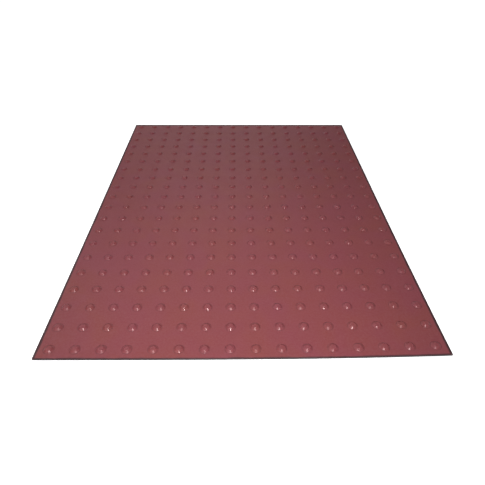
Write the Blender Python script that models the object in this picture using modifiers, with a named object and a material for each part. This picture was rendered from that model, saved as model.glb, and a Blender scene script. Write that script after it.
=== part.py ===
"""Domed floor mat: four full-size layers, laid one on another.

Frame: metres, origin at the centre of the underside, +X across the width, +Y along the length, +Z up.
From the floor up the mat is a grip backing, a cushion core, a reinforcing scrim and a moulded wear
sheet with a straight grid of truncated domes. LAYER_GAP is the bond line between two layers.
"""
import math

import bmesh
import bpy
from mathutils import Matrix

# Outline and dome grid. The border is half a pitch at the sides. END_BORDER is the distance from the
# centres of the first and last rows to the front and back edges.
COLUMNS = 16
ROWS = 20
COLUMN_PITCH = 0.05715
MAT_WIDTH = COLUMNS * COLUMN_PITCH
MAT_LENGTH = 1.2192
END_BORDER = 0.025
ROW_PITCH = (MAT_LENGTH - 2 * END_BORDER) / (ROWS - 1)

# Layer thicknesses, from the floor up.
BACKING_THICKNESS = 0.0007
CORE_THICKNESS = 0.0013
SCRIM_THICKNESS = 0.0004
WEAR_THICKNESS = 0.0011
LAYER_GAP = 0.0003

# One truncated dome, measured from the wear sheet's top plane.
DOME_BASE_DIAMETER = 0.023
DOME_TOP_DIAMETER = 0.012
DOME_HEIGHT = 0.0051
DOME_SIDES = 8
DOME_ROOT = 0.0005

MODEL_COLLECTION = "domed_floor_mat"
CUTTER_COLLECTION = "join_shapes"


def clear_scene():
    """Remove every object that the file opened with."""
    for thing in list(bpy.data.objects):
        bpy.data.objects.remove(thing, do_unlink=True)


def new_collection(name):
    """Make a collection and link it to the scene."""
    collection = bpy.data.collections.new(name)
    bpy.context.scene.collection.children.link(collection)
    return collection


def plain_material(name, colour, roughness):
    """A Principled BSDF material of one colour, not metallic."""
    material = bpy.data.materials.new(name)
    material.use_nodes = True
    shader = material.node_tree.nodes["Principled BSDF"]
    shader.inputs["Base Color"].default_value = (*colour, 1.0)
    shader.inputs["Roughness"].default_value = roughness
    shader.inputs["Metallic"].default_value = 0.0
    return material


def add_object(name, shape, collection, location):
    """Turn a bmesh into a named object in a collection, at a place."""
    mesh = bpy.data.meshes.new(name)
    shape.to_mesh(mesh)
    shape.free()
    thing = bpy.data.objects.new(name, mesh)
    thing.location = location
    collection.objects.link(thing)
    return thing


def layer(name, thickness, underside, material, collection):
    """A full-size flat layer whose underside is at the given height."""
    shape = bmesh.new()
    bmesh.ops.create_cube(shape, size=1.0)
    bmesh.ops.scale(shape, vec=(MAT_WIDTH, MAT_LENGTH, thickness), verts=shape.verts)
    sheet = add_object(name, shape, collection, (0.0, 0.0, underside + thickness / 2))
    sheet.data.materials.append(material)
    return sheet


def repeat(thing, axis, count, pitch):
    """Repeat an object along one axis with an Array of a constant pitch."""
    array = thing.modifiers.new(f"repeat_{'XYZ'[axis]}", "ARRAY")
    array.count = count
    array.use_relative_offset = False
    array.use_constant_offset = True
    array.constant_offset_displace = [pitch if i == axis else 0.0 for i in range(3)]


def dome_grid(top_plane, collection):
    """All the domes as one guide object, each rooted a little way into the wear sheet."""
    base_radius = DOME_BASE_DIAMETER / 2
    top_radius = DOME_TOP_DIAMETER / 2
    flank = (base_radius - top_radius) / DOME_HEIGHT
    shape = bmesh.new()
    bmesh.ops.create_cone(
        shape,
        cap_ends=True,
        segments=DOME_SIDES,
        radius1=base_radius + flank * DOME_ROOT,
        radius2=top_radius,
        depth=DOME_HEIGHT + DOME_ROOT,
    )
    bmesh.ops.rotate(
        shape,
        cent=(0.0, 0.0, 0.0),
        matrix=Matrix.Rotation(math.pi / DOME_SIDES, 3, "Z"),
        verts=shape.verts,
    )
    first_dome = (
        -MAT_WIDTH / 2 + COLUMN_PITCH / 2,
        -MAT_LENGTH / 2 + END_BORDER,
        top_plane + (DOME_HEIGHT - DOME_ROOT) / 2,
    )
    domes = add_object("dome_shapes", shape, collection, first_dome)
    repeat(domes, 0, COLUMNS, COLUMN_PITCH)
    repeat(domes, 1, ROWS, ROW_PITCH)
    domes.hide_render = True
    domes.display_type = "WIRE"
    return domes


def join_domes(sheet, domes):
    """Make the domes and the wear sheet one body."""
    union = sheet.modifiers.new("moulded_domes", "BOOLEAN")
    union.operation = "UNION"
    union.object = domes
    union.solver = "EXACT"


def main():
    clear_scene()
    model = new_collection(MODEL_COLLECTION)
    cutters = new_collection(CUTTER_COLLECTION)

    backing_colour = plain_material("grip_backing", (0.03, 0.03, 0.032), 0.85)
    core_colour = plain_material("cushion_core", (0.045, 0.043, 0.043), 0.95)
    scrim_colour = plain_material("reinforcing_scrim", (0.10, 0.096, 0.092), 0.9)
    wear_colour = plain_material("wear_sheet", (0.27, 0.058, 0.065), 0.45)

    underside = 0.0
    layer("grip_backing", BACKING_THICKNESS, underside, backing_colour, model)
    underside += BACKING_THICKNESS + LAYER_GAP
    layer("cushion_core", CORE_THICKNESS, underside, core_colour, model)
    underside += CORE_THICKNESS + LAYER_GAP
    layer("reinforcing_scrim", SCRIM_THICKNESS, underside, scrim_colour, model)
    underside += SCRIM_THICKNESS + LAYER_GAP
    dome_sheet = layer("dome_sheet", WEAR_THICKNESS, underside, wear_colour, model)
    domes = dome_grid(underside + WEAR_THICKNESS, cutters)
    join_domes(dome_sheet, domes)


main()
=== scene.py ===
import math

import bpy
import numpy as np
from mathutils import Euler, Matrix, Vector


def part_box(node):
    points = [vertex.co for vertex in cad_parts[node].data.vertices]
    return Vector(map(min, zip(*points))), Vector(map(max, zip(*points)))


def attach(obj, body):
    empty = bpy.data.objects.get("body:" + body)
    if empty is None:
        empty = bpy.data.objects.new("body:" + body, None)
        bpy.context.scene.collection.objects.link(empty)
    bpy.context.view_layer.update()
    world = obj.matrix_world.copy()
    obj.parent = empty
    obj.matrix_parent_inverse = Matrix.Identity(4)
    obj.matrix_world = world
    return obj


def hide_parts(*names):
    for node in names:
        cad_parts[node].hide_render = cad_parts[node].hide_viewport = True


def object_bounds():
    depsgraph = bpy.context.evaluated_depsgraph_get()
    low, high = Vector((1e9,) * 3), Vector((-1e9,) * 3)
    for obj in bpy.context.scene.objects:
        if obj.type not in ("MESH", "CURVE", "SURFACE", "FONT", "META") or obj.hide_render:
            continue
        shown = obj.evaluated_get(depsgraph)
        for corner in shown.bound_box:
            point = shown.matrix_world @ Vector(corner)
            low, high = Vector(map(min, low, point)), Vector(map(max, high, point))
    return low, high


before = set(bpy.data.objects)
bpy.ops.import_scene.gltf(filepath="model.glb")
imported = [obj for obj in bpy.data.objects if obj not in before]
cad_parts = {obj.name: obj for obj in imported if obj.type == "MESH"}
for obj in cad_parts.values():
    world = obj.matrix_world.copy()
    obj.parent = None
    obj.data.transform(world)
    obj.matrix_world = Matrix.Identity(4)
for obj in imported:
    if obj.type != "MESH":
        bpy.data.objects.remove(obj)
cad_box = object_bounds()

BODY = "root"

# Layout of the dome grid. The border is half a pitch at the sides, and END_BORDER at the front and back.
COLUMNS = 16
ROWS = 20
LOW, HIGH = cad_box
WIDTH = HIGH.x - LOW.x
LENGTH = HIGH.y - LOW.y
COLUMN_PITCH = WIDTH / COLUMNS
END_BORDER = 0.025
ROW_PITCH = (LENGTH - 2 * END_BORDER) / (ROWS - 1)

# One truncated dome with a rounded rim, a filleted foot and a slightly crowned top. It has SPOKES sides,
# because its cell's border has SIDE_STEPS points on each of its four sides.
DOME_HEIGHT = 0.0051
DOME_BASE_RADIUS = 0.0115
DOME_TOP_RADIUS = 0.006
RIM_RADIUS = 0.0046
RIM_STEPS = 6
FOOT_RADIUS = 0.0018
FOOT_STEPS = 4
CROWN_HEIGHT = 0.00015
TOP_PLANE = HIGH.z - DOME_HEIGHT
SIDE_STEPS = 6
SPOKES = 4 * SIDE_STEPS
ON_BORDER = 0.499

# How the domes differ: standard deviations of their place, tilt and girth, and how much lower they come out.
DOME_SEED = 11
DOME_SHIFT = 0.00012
DOME_TILT = 0.018
DOME_GIRTH = 0.012
DOME_SHRINK = 0.02
DOME_MOST_SHRINK = 0.06

# Finish of the moulded vinyl: roughness, relief and strength of its shine, in the field and on the domes.
# A dome finish covers the flank between two shares of the dome's height. Painted shade at the foot reaches
# past it.
FIELD_FINISH = (0.50, 0.6, 0.38)
DOME_FINISHES = ((0.22, 0.12, 0.50), (0.27, 0.12, 0.50), (0.35, 0.12, 0.50))
DOME_FINISH_FROM = 0.05
DOME_FINISH_TO = 0.93
DOME_SHINE_TINT = (1.0, 0.74, 0.75)
NO_TINT = (1.0, 1.0, 1.0)
PAINTED_SHADE_REACH = 0.0010

# Edge of the wear sheet: rounded over, with painted shade along it in a band that is narrower at the front
# and wider at the back.
EDGE_RADIUS = 0.0008
EDGE_ANGLES = (30, 60, 90)
EDGE_PAINTED_SHADE_WIDTH = 0.0065
FRONT_EDGE_UNSHADED = 0.0035
BACK_EDGE_EXTRA = 0.0035

# The three lower layers. BOND_GAP keeps the faces of two layers apart. EDGE_IN is how far the cut edge of
# the foam or scrim may draw in. YARN_RISE is half the height of the weave. A waffle cell is WAFFLE_DEPTH
# deep, its walls lean by WAFFLE_DRAFT, and WAFFLE_RIB is half the width of a rib.
BOND_GAP = 0.00002
SLAB_GRID = (120, 160)
FOAM_SEED = 5
FOAM_EDGE_IN = 0.0006
SCRIM_SEED = 9
SCRIM_EDGE_IN = 0.0005
YARN_RISE = 0.00005
WAFFLE_GRID = (60, 80)
WAFFLE_RIB = 0.0016
WAFFLE_DRAFT = 0.0003
WAFFLE_DEPTH = 0.00035

# How a flexible sheet lies: small waves all over, and two front corners that don't quite lie down.
WAVE_HEIGHT = 0.00025
LEFT_CORNER_LIFT = 0.0035
RIGHT_CORNER_LIFT = 0.0088

# Faces that meet at more than this many degrees keep a crisp edge between them.
SHARP_ANGLE = 35.0
WAFFLE_SHARP_ANGLE = 25.0

# Camera, in metres and degrees, with its lens and sensor in millimetres.
CAMERA_PLACE = (-0.0135, -1.1434, 0.7719)
CAMERA_TURN = (50.48, -0.35, -0.746)
CAMERA_LENS = 30.72
SENSOR_WIDTH = 36.0

# Studio.
WORLD_STRENGTH = 0.2
FLOOR_SIZE = 60.0
FLOOR_DROP = 0.0003
FLOOR_REFLECT = 0.9
FLOOR_GLOW = 0.85
BACKDROP_RADIUS = 29.0
MAT_MIDDLE = (0.0, -0.1, 0.0)
LAMP_DISTANCE = 2.4
STRIP_PLACE = (0.0, -1.5, 1.4)
STRIP_AIM = (0.0, -0.3, 0.0)
FRONT_POOL_PLACE = (0.0, -1.3, 1.15)
FRONT_POOL_AIM = (-0.02, -0.52, 0.0)
HIGH_POOL_PLACE = (0.0, -0.75, 1.9)
HIGH_POOL_AIM = (-0.02, -0.32, 0.0)
WHITE = (1.0, 1.0, 1.0)
COOL = (0.92, 0.98, 1.05)


# ---------------------------------------------------------------- mesh helpers


def lie(points):
    """Heights that the lie of the sheet adds at these points: small waves and the lifted corners."""
    x = points[:, 0]
    y = points[:, 1]
    across = np.clip(np.abs(x) / (WIDTH / 2), 0, 1) ** 2
    towards_front = np.clip(-y / (LENGTH / 2), 0, 1) ** 2
    corner = np.where(x < 0, LEFT_CORNER_LIFT, RIGHT_CORNER_LIFT)
    wave = np.sin(5.1 * x + 2.2 * y + 0.4) * np.sin(3.7 * y - 1.9 * x + 1.1)
    wave += 0.5 * np.sin(13.0 * x - 4.0 * y) * np.sin(9.0 * y + 2.0)
    return corner * across * towards_front + WAVE_HEIGHT * (wave + 1.5) / 3.0


def make_mesh(name, points, faces, sharp_angle=SHARP_ANGLE):
    """A smooth mesh object of these points, laid as the sheet lies, with crisp cut edges."""
    points = np.array(points, float)
    points[:, 2] += lie(points)
    mesh = bpy.data.meshes.new(name)
    mesh.from_pydata(points.tolist(), [], [tuple(int(corner) for corner in face) for face in faces])
    mesh.validate()
    mesh.update()
    mesh.shade_smooth()
    mesh.set_sharp_from_angle(angle=math.radians(sharp_angle))
    piece = bpy.data.objects.new(name, mesh)
    bpy.context.scene.collection.objects.link(piece)
    return piece


def grid_lines(across, along):
    """The places of a grid's lines over the whole mat, across it and along it."""
    return np.linspace(LOW.x, HIGH.x, across + 1), np.linspace(LOW.y, HIGH.y, along + 1)


def grid_rim(across, along):
    """The (row, column) places of a grid's outer points, round the mat from its front left corner."""
    rim = [(0, i) for i in range(across)]
    rim += [(j, across) for j in range(along)]
    rim += [(along, i) for i in range(across, 0, -1)]
    rim += [(j, 0) for j in range(along, 0, -1)]
    return rim


def place(piece, node, material):
    """Put a finished piece on the body, in place of its CAD node, with its finish."""
    piece.data.materials.append(material)
    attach(piece, BODY)
    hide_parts(node)
    return piece


# ---------------------------------------------------------------- domed wear sheet


class SheetMesh:
    """Points and faces of the wear sheet. Each point knows how far up a dome it is, and its painted shade."""

    def __init__(self):
        self.points = []
        self.up_dome = []
        self.painted_shade = []
        self.faces = []
        self.shared = {}

    def add_point(self, x, y, z, up_dome=0.0, painted_shade=0.0):
        self.points.append((x, y, z))
        self.up_dome.append(up_dome)
        self.painted_shade.append(painted_shade)
        return len(self.points) - 1

    def shared_point(self, x, y, z):
        """The one point at this place, which all the faces that meet there share."""
        key = (round(x, 6), round(y, 6), round(z, 6))
        if key not in self.shared:
            self.shared[key] = self.add_point(x, y, z)
        return self.shared[key]

    def add_ring(self, inner, outer):
        """A ring of faces between two rings of points."""
        for i in range(SPOKES):
            j = (i + 1) % SPOKES
            self.faces.append((inner[i], outer[i], outer[j], inner[j]))


def dome_profile():
    """(radius, height, painted shade) of one dome, from its rim to beyond its foot: two arcs and a flank."""
    slope = math.atan2(DOME_HEIGHT, DOME_BASE_RADIUS - DOME_TOP_RADIUS)
    rim_reach = RIM_RADIUS * math.tan(slope / 2)
    foot_reach = FOOT_RADIUS * math.tan(slope / 2)
    profile = []
    for angle in np.linspace(0, slope, RIM_STEPS):
        radius = DOME_TOP_RADIUS - rim_reach + RIM_RADIUS * math.sin(angle)
        height = DOME_HEIGHT - RIM_RADIUS * (1 - math.cos(angle))
        profile.append((radius, height, 0.0))
    # Painted shade: none on the rim, growing down the foot fillet to full at the foot, then fading to none
    # past it.
    for angle in np.linspace(slope, 0, FOOT_STEPS):
        radius = DOME_BASE_RADIUS + foot_reach - FOOT_RADIUS * math.sin(angle)
        height = FOOT_RADIUS * (1 - math.cos(angle))
        profile.append((radius, height, 1.0 - angle / slope))
    profile.append((DOME_BASE_RADIUS + foot_reach + PAINTED_SHADE_REACH, 0.0, 0.0))
    return profile


def cell_border():
    """The points of one cell's border, from -0.5 to 0.5 each way, from its front left corner round."""
    steps = np.linspace(0, 1, SIDE_STEPS, endpoint=False)
    corners = [(-0.5, -0.5), (0.5, -0.5), (0.5, 0.5), (-0.5, 0.5)]
    border = []
    for side in range(4):
        start = np.array(corners[side])
        end = np.array(corners[(side + 1) % 4])
        border.extend(start + (end - start) * t for t in steps)
    return np.array(border)


def column_x(column, u=0.0):
    """Where a column of cells is across the mat: u is 0 at its centres and -0.5 and 0.5 at its borders."""
    return LOW.x + (column + 0.5) * COLUMN_PITCH + u * COLUMN_PITCH


def row_y(row, v=0.0):
    """Where a row of cells is along the mat: v is 0 at its domes' centres and -0.5 and 0.5 at its borders."""
    at_front = row == 0 and v < 0
    at_back = row == ROWS - 1 and v > 0
    reach = END_BORDER if at_front or at_back else ROW_PITCH / 2
    return LOW.y + END_BORDER + row * ROW_PITCH + 2 * v * reach


def add_dome(sheet, rng, profile, directions, row, column):
    """Add one dome, a little out of true. Returns its outermost ring and the number of its finish."""
    shift_x, shift_y = rng.normal(0, DOME_SHIFT, 2)
    tall = 1 + float(np.clip(rng.normal(-DOME_SHRINK, DOME_SHRINK), -DOME_MOST_SHRINK, 0.0))
    tilt_x, tilt_y = rng.normal(0, DOME_TILT, 2)
    finish = int(rng.integers(1, len(DOME_FINISHES) + 1))
    girth = 1 + rng.normal(0, DOME_GIRTH)
    x = column_x(column) + shift_x
    y = row_y(row) + shift_y
    top = sheet.add_point(x, y, TOP_PLANE + DOME_HEIGHT * tall, 1.0)
    inner = None
    for radius, height, painted_shade in profile:
        up_dome = height / DOME_HEIGHT
        ring = []
        for angle in directions:
            dx = radius * girth * math.cos(angle)
            dy = radius * girth * math.sin(angle)
            lean = up_dome * (tilt_x * dx + tilt_y * dy)
            z = TOP_PLANE + min(height * tall + lean, DOME_HEIGHT) - CROWN_HEIGHT * up_dome
            ring.append(sheet.add_point(x + dx, y + dy, z, up_dome, painted_shade))
        if inner is None:
            sheet.faces.extend((top, ring[i], ring[(i + 1) % SPOKES]) for i in range(SPOKES))
        else:
            sheet.add_ring(inner, ring)
        inner = ring
    return inner, finish


def is_needed(column, row, u, v):
    """Whether a border point is wanted under the sheet: every corner, and all points on the outline."""
    corner = abs(u) > ON_BORDER and abs(v) > ON_BORDER
    left = column == 0 and u < -ON_BORDER
    right = column == COLUMNS - 1 and u > ON_BORDER
    front = row == 0 and v < -ON_BORDER
    back = row == ROWS - 1 and v > ON_BORDER
    return corner or left or right or front or back


def drawn_in(x, y, reach):
    """A place on the outline, moved in from it by this much."""
    inner_x = min(max(x, LOW.x + reach), HIGH.x - reach)
    inner_y = min(max(y, LOW.y + reach), HIGH.y - reach)
    return inner_x, inner_y


def add_cut_edge(sheet, underside):
    """Close the sheet with its four cut faces, under a top edge that is rounded over."""
    across = [LOW.x + i * COLUMN_PITCH / SIDE_STEPS for i in range(COLUMNS * SIDE_STEPS + 1)]
    along = [row_y(row, i / SIDE_STEPS - 0.5) for row in range(ROWS) for i in range(SIDE_STEPS)] + [HIGH.y]
    outline = [(x, LOW.y) for x in across[:-1]]
    outline += [(HIGH.x, y) for y in along[:-1]]
    outline += [(x, HIGH.y) for x in reversed(across[1:])]
    outline += [(LOW.x, y) for y in reversed(along[1:])]
    columns = []
    for x, y in outline:
        top = sheet.shared_point(x, y, TOP_PLANE)
        sheet.points[top] = (*drawn_in(x, y, EDGE_RADIUS), TOP_PLANE)
        column = [top]
        for angle in EDGE_ANGLES:
            reach = EDGE_RADIUS * (1 - math.sin(math.radians(angle)))
            drop = EDGE_RADIUS * (1 - math.cos(math.radians(angle)))
            column.append(sheet.add_point(*drawn_in(x, y, reach), TOP_PLANE - drop))
        column.append(sheet.shared_point(x, y, underside))
        columns.append(column)
    for i, column in enumerate(columns):
        following = columns[(i + 1) % len(columns)]
        for k in range(len(column) - 1):
            sheet.faces.append((column[k], column[k + 1], following[k + 1], following[k]))


def build_dome_sheet():
    """The moulded sheet: a cell for each dome, all joined into one closed body with a flat underside."""
    rng = np.random.default_rng(DOME_SEED)
    profile = dome_profile()
    border = cell_border()
    directions = np.arctan2(border[:, 1], border[:, 0])
    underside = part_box("reinforcing_scrim")[1].z + BOND_GAP
    sheet = SheetMesh()
    finish = []
    for row in range(ROWS):
        for column in range(COLUMNS):
            foot, dome_finish = add_dome(sheet, rng, profile, directions, row, column)
            sheet.add_ring(
                foot,
                [sheet.shared_point(column_x(column, u), row_y(row, v), TOP_PLANE) for u, v in border],
            )
            under = [
                sheet.shared_point(column_x(column, u), row_y(row, v), underside)
                for u, v in border
                if is_needed(column, row, u, v)
            ]
            sheet.faces.append(tuple(reversed(under)))
            finish += [dome_finish] * (len(sheet.faces) - len(finish))
    add_cut_edge(sheet, underside)
    finish += [0] * (len(sheet.faces) - len(finish))

    piece = make_mesh("wear_sheet_domed", sheet.points, sheet.faces)
    lowest = np.array([min(sheet.up_dome[corner] for corner in face) for face in sheet.faces])
    highest = np.array([max(sheet.up_dome[corner] for corner in face) for face in sheet.faces])
    on_flank = (lowest > DOME_FINISH_FROM) & (highest < DOME_FINISH_TO)
    piece.data.polygons.foreach_set("material_index", np.where(on_flank, finish, 0).astype(np.int32))
    # Painted shade at each dome's foot, for the vinyl's colour.
    attribute = piece.data.attributes.new("foot_painted_shade", "FLOAT", "POINT")
    attribute.data.foreach_set("value", np.array(sheet.painted_shade, np.float32))
    return piece


# ---------------------------------------------------------------- flat layers


def flat_rise(i, j):
    """No rise anywhere: the top and underside of a slab are plain."""
    return 0.0


def weave_rise(i, j):
    """Plain weave: the crossings rise and dip in turn."""
    return YARN_RISE * (1 if (i + j) % 2 else -1)


def grid_slab(name, low, high, edge_in, seed, rise=flat_rise):
    """A closed slab on a grid, whose cut edge has a middle line that is drawn in unevenly."""
    rng = np.random.default_rng(seed)
    across, along = SLAB_GRID
    xs, ys = grid_lines(across, along)
    points = []
    faces = []
    levels = []
    for z in (high, low):
        index = np.zeros((along + 1, across + 1), int)
        for j, y in enumerate(ys):
            for i, x in enumerate(xs):
                index[j, i] = len(points)
                points.append((x, y, z + rise(i, j)))
        for j in range(along):
            for i in range(across):
                quad = (index[j, i], index[j, i + 1], index[j + 1, i + 1], index[j + 1, i])
                faces.append(quad if z == high else tuple(reversed(quad)))
        levels.append(index)
    upper, lower = levels
    rim = grid_rim(across, along)
    middle = []
    for j, i in rim:
        x, y = xs[i], ys[j]
        draw = edge_in * (0.6 + 0.4 * rng.random())
        inward_x = -np.sign(x) * draw if i in (0, across) else 0.0
        inward_y = -np.sign(y) * draw if j in (0, along) else 0.0
        middle.append(len(points))
        points.append((x + inward_x, y + inward_y, (low + high) / 2))
    for k, spot in enumerate(rim):
        n = (k + 1) % len(rim)
        faces.append((upper[spot], middle[k], middle[n], upper[rim[n]]))
        faces.append((middle[k], lower[spot], lower[rim[n]], middle[n]))
    return make_mesh(name, points, faces)


def build_foam():
    """Closed-cell foam: a cut slab whose sides are drawn in a little by the skins above and below."""
    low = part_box("grip_backing")[1].z + BOND_GAP
    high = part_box("reinforcing_scrim")[0].z - BOND_GAP
    return grid_slab("foam_core_slab", low, high, FOAM_EDGE_IN, FOAM_SEED)


def build_scrim():
    """Plain-woven textile, with an uneven cut edge."""
    low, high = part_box("reinforcing_scrim")
    return grid_slab("scrim_weave", low.z, high.z, SCRIM_EDGE_IN, SCRIM_SEED, weave_rise)


def build_backing():
    """Grip skin: its underside is a waffle of low ribs that stand on the floor."""
    across, along = WAFFLE_GRID
    xs, ys = grid_lines(across, along)
    points = []
    faces = []
    base = np.zeros((along + 1, across + 1), int)
    for j, y in enumerate(ys):
        for i, x in enumerate(xs):
            base[j, i] = len(points)
            points.append((x, y, 0.0))
    for j in range(along):
        for i in range(across):
            rings = [[base[j, i], base[j, i + 1], base[j + 1, i + 1], base[j + 1, i]]]
            for inset, z in ((WAFFLE_RIB, 0.0), (WAFFLE_RIB + WAFFLE_DRAFT, WAFFLE_DEPTH)):
                start = len(points)
                points.append((xs[i] + inset, ys[j] + inset, z))
                points.append((xs[i + 1] - inset, ys[j] + inset, z))
                points.append((xs[i + 1] - inset, ys[j + 1] - inset, z))
                points.append((xs[i] + inset, ys[j + 1] - inset, z))
                rings.append([start, start + 1, start + 2, start + 3])
            for outside, inside in zip(rings, rings[1:]):
                for k in range(4):
                    n = (k + 1) % 4
                    faces.append((outside[k], inside[k], inside[n], outside[n]))
            faces.append(tuple(reversed(rings[-1])))
    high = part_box("grip_backing")[1].z
    top = np.zeros_like(base)
    for j, y in enumerate(ys):
        for i, x in enumerate(xs):
            top[j, i] = len(points)
            points.append((x, y, high))
    for j in range(along):
        for i in range(across):
            faces.append((top[j, i], top[j, i + 1], top[j + 1, i + 1], top[j + 1, i]))
    rim = grid_rim(across, along)
    for k, spot in enumerate(rim):
        following = rim[(k + 1) % len(rim)]
        faces.append((top[spot], base[spot], base[following], top[following]))
    return make_mesh("grip_skin_waffle", points, faces, WAFFLE_SHARP_ANGLE)


# ---------------------------------------------------------------- materials


class Nodes:
    """A short way to write a material's nodes: add a node with its inputs, linked or plain."""

    def __init__(self, name):
        self.material = bpy.data.materials.new(name)
        self.material.use_nodes = True
        self.tree = self.material.node_tree
        self.shader = self.tree.nodes["Principled BSDF"]

    def add(self, kind, inputs=(), **settings):
        node = self.tree.nodes.new(kind)
        for key, value in settings.items():
            setattr(node, key, value)
        for key, value in dict(inputs).items():
            self.set(node.inputs[key], value)
        return node

    def set(self, socket, value):
        if isinstance(value, bpy.types.NodeSocket):
            self.tree.links.new(value, socket)
        else:
            socket.default_value = value

    def shade(self, base, roughness, normal):
        """Link the surface's colour, roughness and relief to its shader."""
        self.set(self.shader.inputs["Base Color"], base)
        self.set(self.shader.inputs["Roughness"], roughness)
        self.set(self.shader.inputs["Normal"], normal)

    def where(self):
        return self.add("ShaderNodeTexCoord").outputs["Object"]

    def noise(self, scale, detail=3.0, roughness=0.5, distortion=0.0):
        inputs = {"Vector": self.where(), "Scale": scale, "Detail": detail}
        inputs["Roughness"] = roughness
        inputs["Distortion"] = distortion
        return self.add("ShaderNodeTexNoise", inputs).outputs["Fac"]

    def span(self, value, low, high, to_low=0.0, to_high=1.0):
        inputs = {"Value": value, "From Min": low, "From Max": high}
        inputs["To Min"] = to_low
        inputs["To Max"] = to_high
        return self.add("ShaderNodeMapRange", inputs, clamp=True).outputs["Result"]

    def mix(self, share, first, second):
        node = self.add("ShaderNodeMix", data_type="RGBA")
        self.set(node.inputs[0], share)
        self.set(node.inputs[6], first)
        self.set(node.inputs[7], second)
        return node.outputs[2]

    def math(self, operation, first, second=0.0):
        node = self.add("ShaderNodeMath", operation=operation)
        self.set(node.inputs[0], first)
        self.set(node.inputs[1], second)
        return node.outputs[0]

    def bump(self, height, distance, strength, under=None):
        inputs = {"Height": height, "Distance": distance, "Strength": strength}
        if under is not None:
            inputs["Normal"] = under
        return self.add("ShaderNodeBump", inputs).outputs["Normal"]


def colour(red, green, blue):
    """A linear colour, as a shader's socket takes it."""
    return (red, green, blue, 1.0)


BRICK_WARM = colour(0.270, 0.059, 0.054)
BRICK_COOL = colour(0.268, 0.055, 0.071)
BRICK_DEEP = colour(0.250, 0.048, 0.056)
BRICK_PALE = colour(0.305, 0.095, 0.105)
BRICK_SPECK = colour(0.55, 0.32, 0.32)
# Painted shade: the colour that the vinyl darkens to round each dome's foot.
BRICK_PAINTED_SHADE = colour(0.110, 0.031, 0.035)
# Painted shade: the colour that the vinyl darkens to along the mat's edge.
BRICK_PAINTED_EDGE_SHADE = colour(0.055, 0.022, 0.026)
FOAM_DARK = colour(0.030, 0.028, 0.029)
FOAM_PALE = colour(0.060, 0.056, 0.056)
FOAM_CELL_WALL = colour(0.020, 0.019, 0.019)
YARN_SHADE = colour(0.060, 0.058, 0.056)
YARN_TOP = colour(0.135, 0.130, 0.124)
YARN_SLUB = colour(0.090, 0.084, 0.076)
RUBBER_BLACK = colour(0.024, 0.024, 0.025)
RUBBER_BLOOM = colour(0.050, 0.049, 0.048)


def painted_edge_shade_share(n, unevenness):
    """0 in the field and nearly 1 at the outline, where shade along the trimmed edge is painted."""
    split = n.add("ShaderNodeSeparateXYZ", {"Vector": n.where()})
    from_side = n.math("SUBTRACT", n.math("ABSOLUTE", split.outputs["X"]), WIDTH / 2)
    from_back = n.math("SUBTRACT", split.outputs["Y"], LENGTH / 2 - BACK_EDGE_EXTRA)
    forward = n.math("MULTIPLY", split.outputs["Y"], -1.0)
    from_front = n.math("SUBTRACT", forward, LENGTH / 2 + FRONT_EDGE_UNSHADED)
    inside = n.math("MAXIMUM", from_side, n.math("MAXIMUM", from_back, from_front))
    wobble = n.math("MULTIPLY", unevenness, EDGE_PAINTED_SHADE_WIDTH * 0.3)
    return n.span(n.math("ADD", inside, wobble), -EDGE_PAINTED_SHADE_WIDTH, -EDGE_PAINTED_SHADE_WIDTH * 0.6, 0.0, 0.92)


def wear_material(name, finish, shine_tint=NO_TINT):
    """Brick-red moulded vinyl: satin, finely pebbled, blotchy in tone, with painted shade along its edge and
    round the domes' feet.
    """
    roughness, relief, shine = finish
    n = Nodes(name)
    broad = n.span(n.noise(9.0, 2.0, 0.5, distortion=0.6), 0.34, 0.66)
    patch = n.span(n.noise(26.0, 3.0, 0.55), 0.3, 0.7)
    fine = n.span(n.noise(210.0, 3.0, 0.65), 0.32, 0.68)
    speck = n.span(n.noise(900.0, 1.0, 0.5), 0.74, 0.80)
    # How much painted shade each point takes at a dome's foot.
    painted_shade = n.add("ShaderNodeAttribute", attribute_name="foot_painted_shade").outputs["Fac"]
    base = n.mix(broad, BRICK_WARM, BRICK_COOL)
    base = n.mix(n.math("MULTIPLY", patch, 0.40), base, BRICK_DEEP)
    base = n.mix(n.math("MULTIPLY", fine, 0.42), base, BRICK_PALE)
    base = n.mix(n.math("MULTIPLY", speck, 0.35), base, BRICK_SPECK)
    # Painted shade round each dome's foot.
    base = n.mix(n.math("MULTIPLY", painted_shade, 0.47), base, BRICK_PAINTED_SHADE)
    # Painted shade along the edge of the sheet.
    base = n.mix(painted_edge_shade_share(n, patch), base, BRICK_PAINTED_EDGE_SHADE)
    peel = n.bump(n.noise(150.0, 3.0, 0.6), 0.0006, relief)
    pebble = n.bump(n.noise(1100.0, 2.0, 0.55), 0.00008, relief, under=peel)
    n.shade(base, n.span(patch, 0.0, 1.0, roughness - 0.03, roughness + 0.03), pebble)
    n.shader.inputs["IOR"].default_value = 1.5
    n.shader.inputs["Specular IOR Level"].default_value = shine
    n.shader.inputs["Specular Tint"].default_value = colour(*shine_tint)
    return n.material


def foam_material():
    """Charcoal closed-cell foam, matt, with fine cells where it is cut."""
    n = Nodes("charcoal_foam")
    cells = n.add("ShaderNodeTexVoronoi", {"Vector": n.where(), "Scale": 2600.0}).outputs["Distance"]
    tone = n.span(n.noise(60.0, 3.0), 0.3, 0.7)
    base = n.mix(tone, FOAM_DARK, FOAM_PALE)
    base = n.mix(n.span(cells, 0.1, 0.6), base, FOAM_CELL_WALL)
    n.shade(base, n.span(tone, 0.0, 1.0, 0.88, 0.98), n.bump(cells, 0.0001, 0.8))
    return n.material


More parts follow.
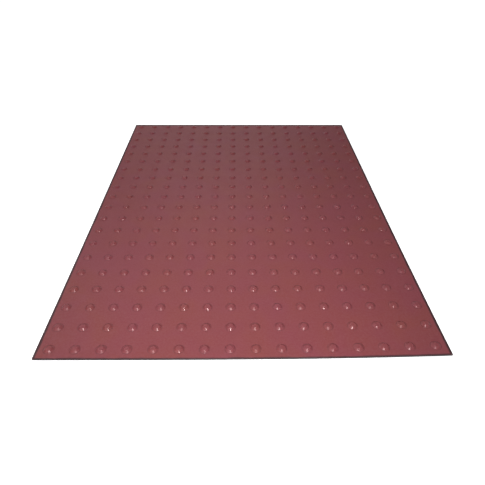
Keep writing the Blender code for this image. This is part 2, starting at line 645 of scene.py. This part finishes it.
def scrim_material():
    """Grey woven polyester: two sets of yarns across each other, with slubs."""
    n = Nodes("woven_polyester")
    yarn_waves = {"Vector": n.where(), "Scale": 165.0}
    warp = n.add("ShaderNodeTexWave", yarn_waves, bands_direction="X")
    weft = n.add("ShaderNodeTexWave", yarn_waves, bands_direction="Y")
    yarns = n.math("MAXIMUM", warp.outputs["Fac"], weft.outputs["Fac"])
    slub = n.span(n.noise(90.0, 3.0), 0.3, 0.7)
    base = n.mix(yarns, YARN_SHADE, YARN_TOP)
    base = n.mix(n.math("MULTIPLY", slub, 0.3), base, YARN_SLUB)
    n.shade(base, n.span(slub, 0.0, 1.0, 0.82, 0.95), n.bump(yarns, 0.00015, 0.8))
    n.shader.inputs["Sheen Weight"].default_value = 0.15
    return n.material


def grip_material():
    """Black grip rubber: dull, with a fine grain and a grey bloom in patches."""
    n = Nodes("black_grip_rubber")
    bloom = n.span(n.noise(14.0, 4.0, 0.6, distortion=0.4), 0.35, 0.75)
    grain = n.noise(1400.0, 2.0)
    base = n.mix(bloom, RUBBER_BLACK, RUBBER_BLOOM)
    n.shade(base, n.span(bloom, 0.0, 1.0, 0.62, 0.80), n.bump(grain, 0.00006, 0.7))
    return n.material


# ---------------------------------------------------------------- studio


def around(turn, height):
    """A lamp's place round the mat: degrees from the front, counted to the right, and above the floor."""
    turn = math.radians(turn)
    height = math.radians(height)
    flat = LAMP_DISTANCE * math.cos(height)
    return (flat * math.sin(turn), -flat * math.cos(turn), LAMP_DISTANCE * math.sin(height))


def aimed(name, data, place_at, aim):
    """A light object at one point that shines towards another."""
    lamp = bpy.data.objects.new(name, data)
    lamp.location = place_at
    lamp.rotation_euler = (Vector(aim) - Vector(place_at)).to_track_quat("-Z", "Y").to_euler()
    lamp.visible_camera = False
    bpy.context.scene.collection.objects.link(lamp)
    return lamp


def area_light(name, place_at, aim, size, power, tint=WHITE):
    """A soft rectangular lamp, with its width and height in metres and its power in watts."""
    data = bpy.data.lights.new(name, "AREA")
    data.shape = "RECTANGLE"
    data.size, data.size_y = size
    data.energy = power
    data.color = tint
    return aimed(name, data, place_at, aim)


def spot_light(name, place_at, aim, radius, power, cone):
    """A lamp whose pool of light fades out from its middle to the cone's edge, in degrees."""
    data = bpy.data.lights.new(name, "SPOT")
    data.shadow_soft_size = radius
    data.energy = power
    data.spot_size = math.radians(cone)
    data.spot_blend = 1.0
    return aimed(name, data, place_at, aim)


def white_paint(name, reflect, glow):
    """Matt white that also glows, so that the studio stays white behind the mat."""
    paint = bpy.data.materials.new(name)
    paint.use_nodes = True
    shader = paint.node_tree.nodes["Principled BSDF"]
    shader.inputs["Base Color"].default_value = colour(reflect, reflect, reflect)
    shader.inputs["Roughness"].default_value = 0.9
    shader.inputs["Specular IOR Level"].default_value = 0.1
    shader.inputs["Emission Color"].default_value = colour(*WHITE)
    shader.inputs["Emission Strength"].default_value = glow
    return paint


def build_studio():
    """A white floor and backdrop, a dim cool world, soft lamps round the mat and three over its front."""
    scene = bpy.context.scene
    scene.view_settings.view_transform = "Standard"
    scene.view_settings.look = "None"
    world = bpy.data.worlds.new("pale_studio")
    world.use_nodes = True
    background = world.node_tree.nodes["Background"]
    background.inputs["Color"].default_value = colour(0.97, 0.98, 1.0)
    background.inputs["Strength"].default_value = WORLD_STRENGTH
    scene.world = world

    bpy.ops.mesh.primitive_plane_add(size=FLOOR_SIZE, location=(0.0, 0.0, -FLOOR_DROP))
    floor = bpy.context.object
    floor.name = "studio_floor"
    floor.data.materials.append(white_paint("white_floor", FLOOR_REFLECT, FLOOR_GLOW))

    bpy.ops.mesh.primitive_uv_sphere_add(segments=48, ring_count=24, radius=BACKDROP_RADIUS)
    backdrop = bpy.context.object
    backdrop.name = "studio_backdrop"
    backdrop.data.materials.append(white_paint("white_backdrop", 0.0, 1.0))
    backdrop.visible_diffuse = False
    backdrop.visible_glossy = False
    backdrop.visible_shadow = False

    area_light("key_front_left", around(315, 40), MAT_MIDDLE, (1.2, 1.2), 6.8)
    area_light("card_left_back", around(245, 40), MAT_MIDDLE, (1.8, 1.2), 7.4, COOL)
    area_light("card_back", around(187, 40), MAT_MIDDLE, (1.2, 1.2), 4.15)
    area_light("card_back_low", around(183, 15), MAT_MIDDLE, (1.8, 0.8), 2.1)
    area_light("card_right", around(68, 40), MAT_MIDDLE, (1.6, 1.2), 3.5)
    # The tall strip gives the domes in the front half their small upright highlights.
    area_light("front_strip", STRIP_PLACE, STRIP_AIM, (0.09, 1.06), 11.5)
    spot_light("front_pool", FRONT_POOL_PLACE, FRONT_POOL_AIM, 0.10, 22.5, 44.0)
    spot_light("high_pool", HIGH_POOL_PLACE, HIGH_POOL_AIM, 0.06, 17.0, 56.0)


def build_camera():
    """The camera stands in front of the mat and looks down at it."""
    data = bpy.data.cameras.new("front_camera")
    data.lens = CAMERA_LENS
    data.sensor_width = SENSOR_WIDTH
    camera = bpy.data.objects.new("front_camera", data)
    camera.location = CAMERA_PLACE
    camera.rotation_euler = Euler([math.radians(angle) for angle in CAMERA_TURN])
    bpy.context.scene.collection.objects.link(camera)
    bpy.context.scene.camera = camera


# ---------------------------------------------------------------- the mat


build_camera()
build_studio()
dome_sheet = build_dome_sheet()
place(dome_sheet, "dome_sheet", wear_material("brick_red_vinyl", FIELD_FINISH))
for number, dome_finish in enumerate(DOME_FINISHES):
    dome_vinyl = wear_material(f"brick_red_vinyl_dome_{number}", dome_finish, DOME_SHINE_TINT)
    dome_sheet.data.materials.append(dome_vinyl)
scrim = place(build_scrim(), "reinforcing_scrim", scrim_material())
foam = place(build_foam(), "cushion_core", foam_material())
place(build_backing(), "grip_backing", grip_material())
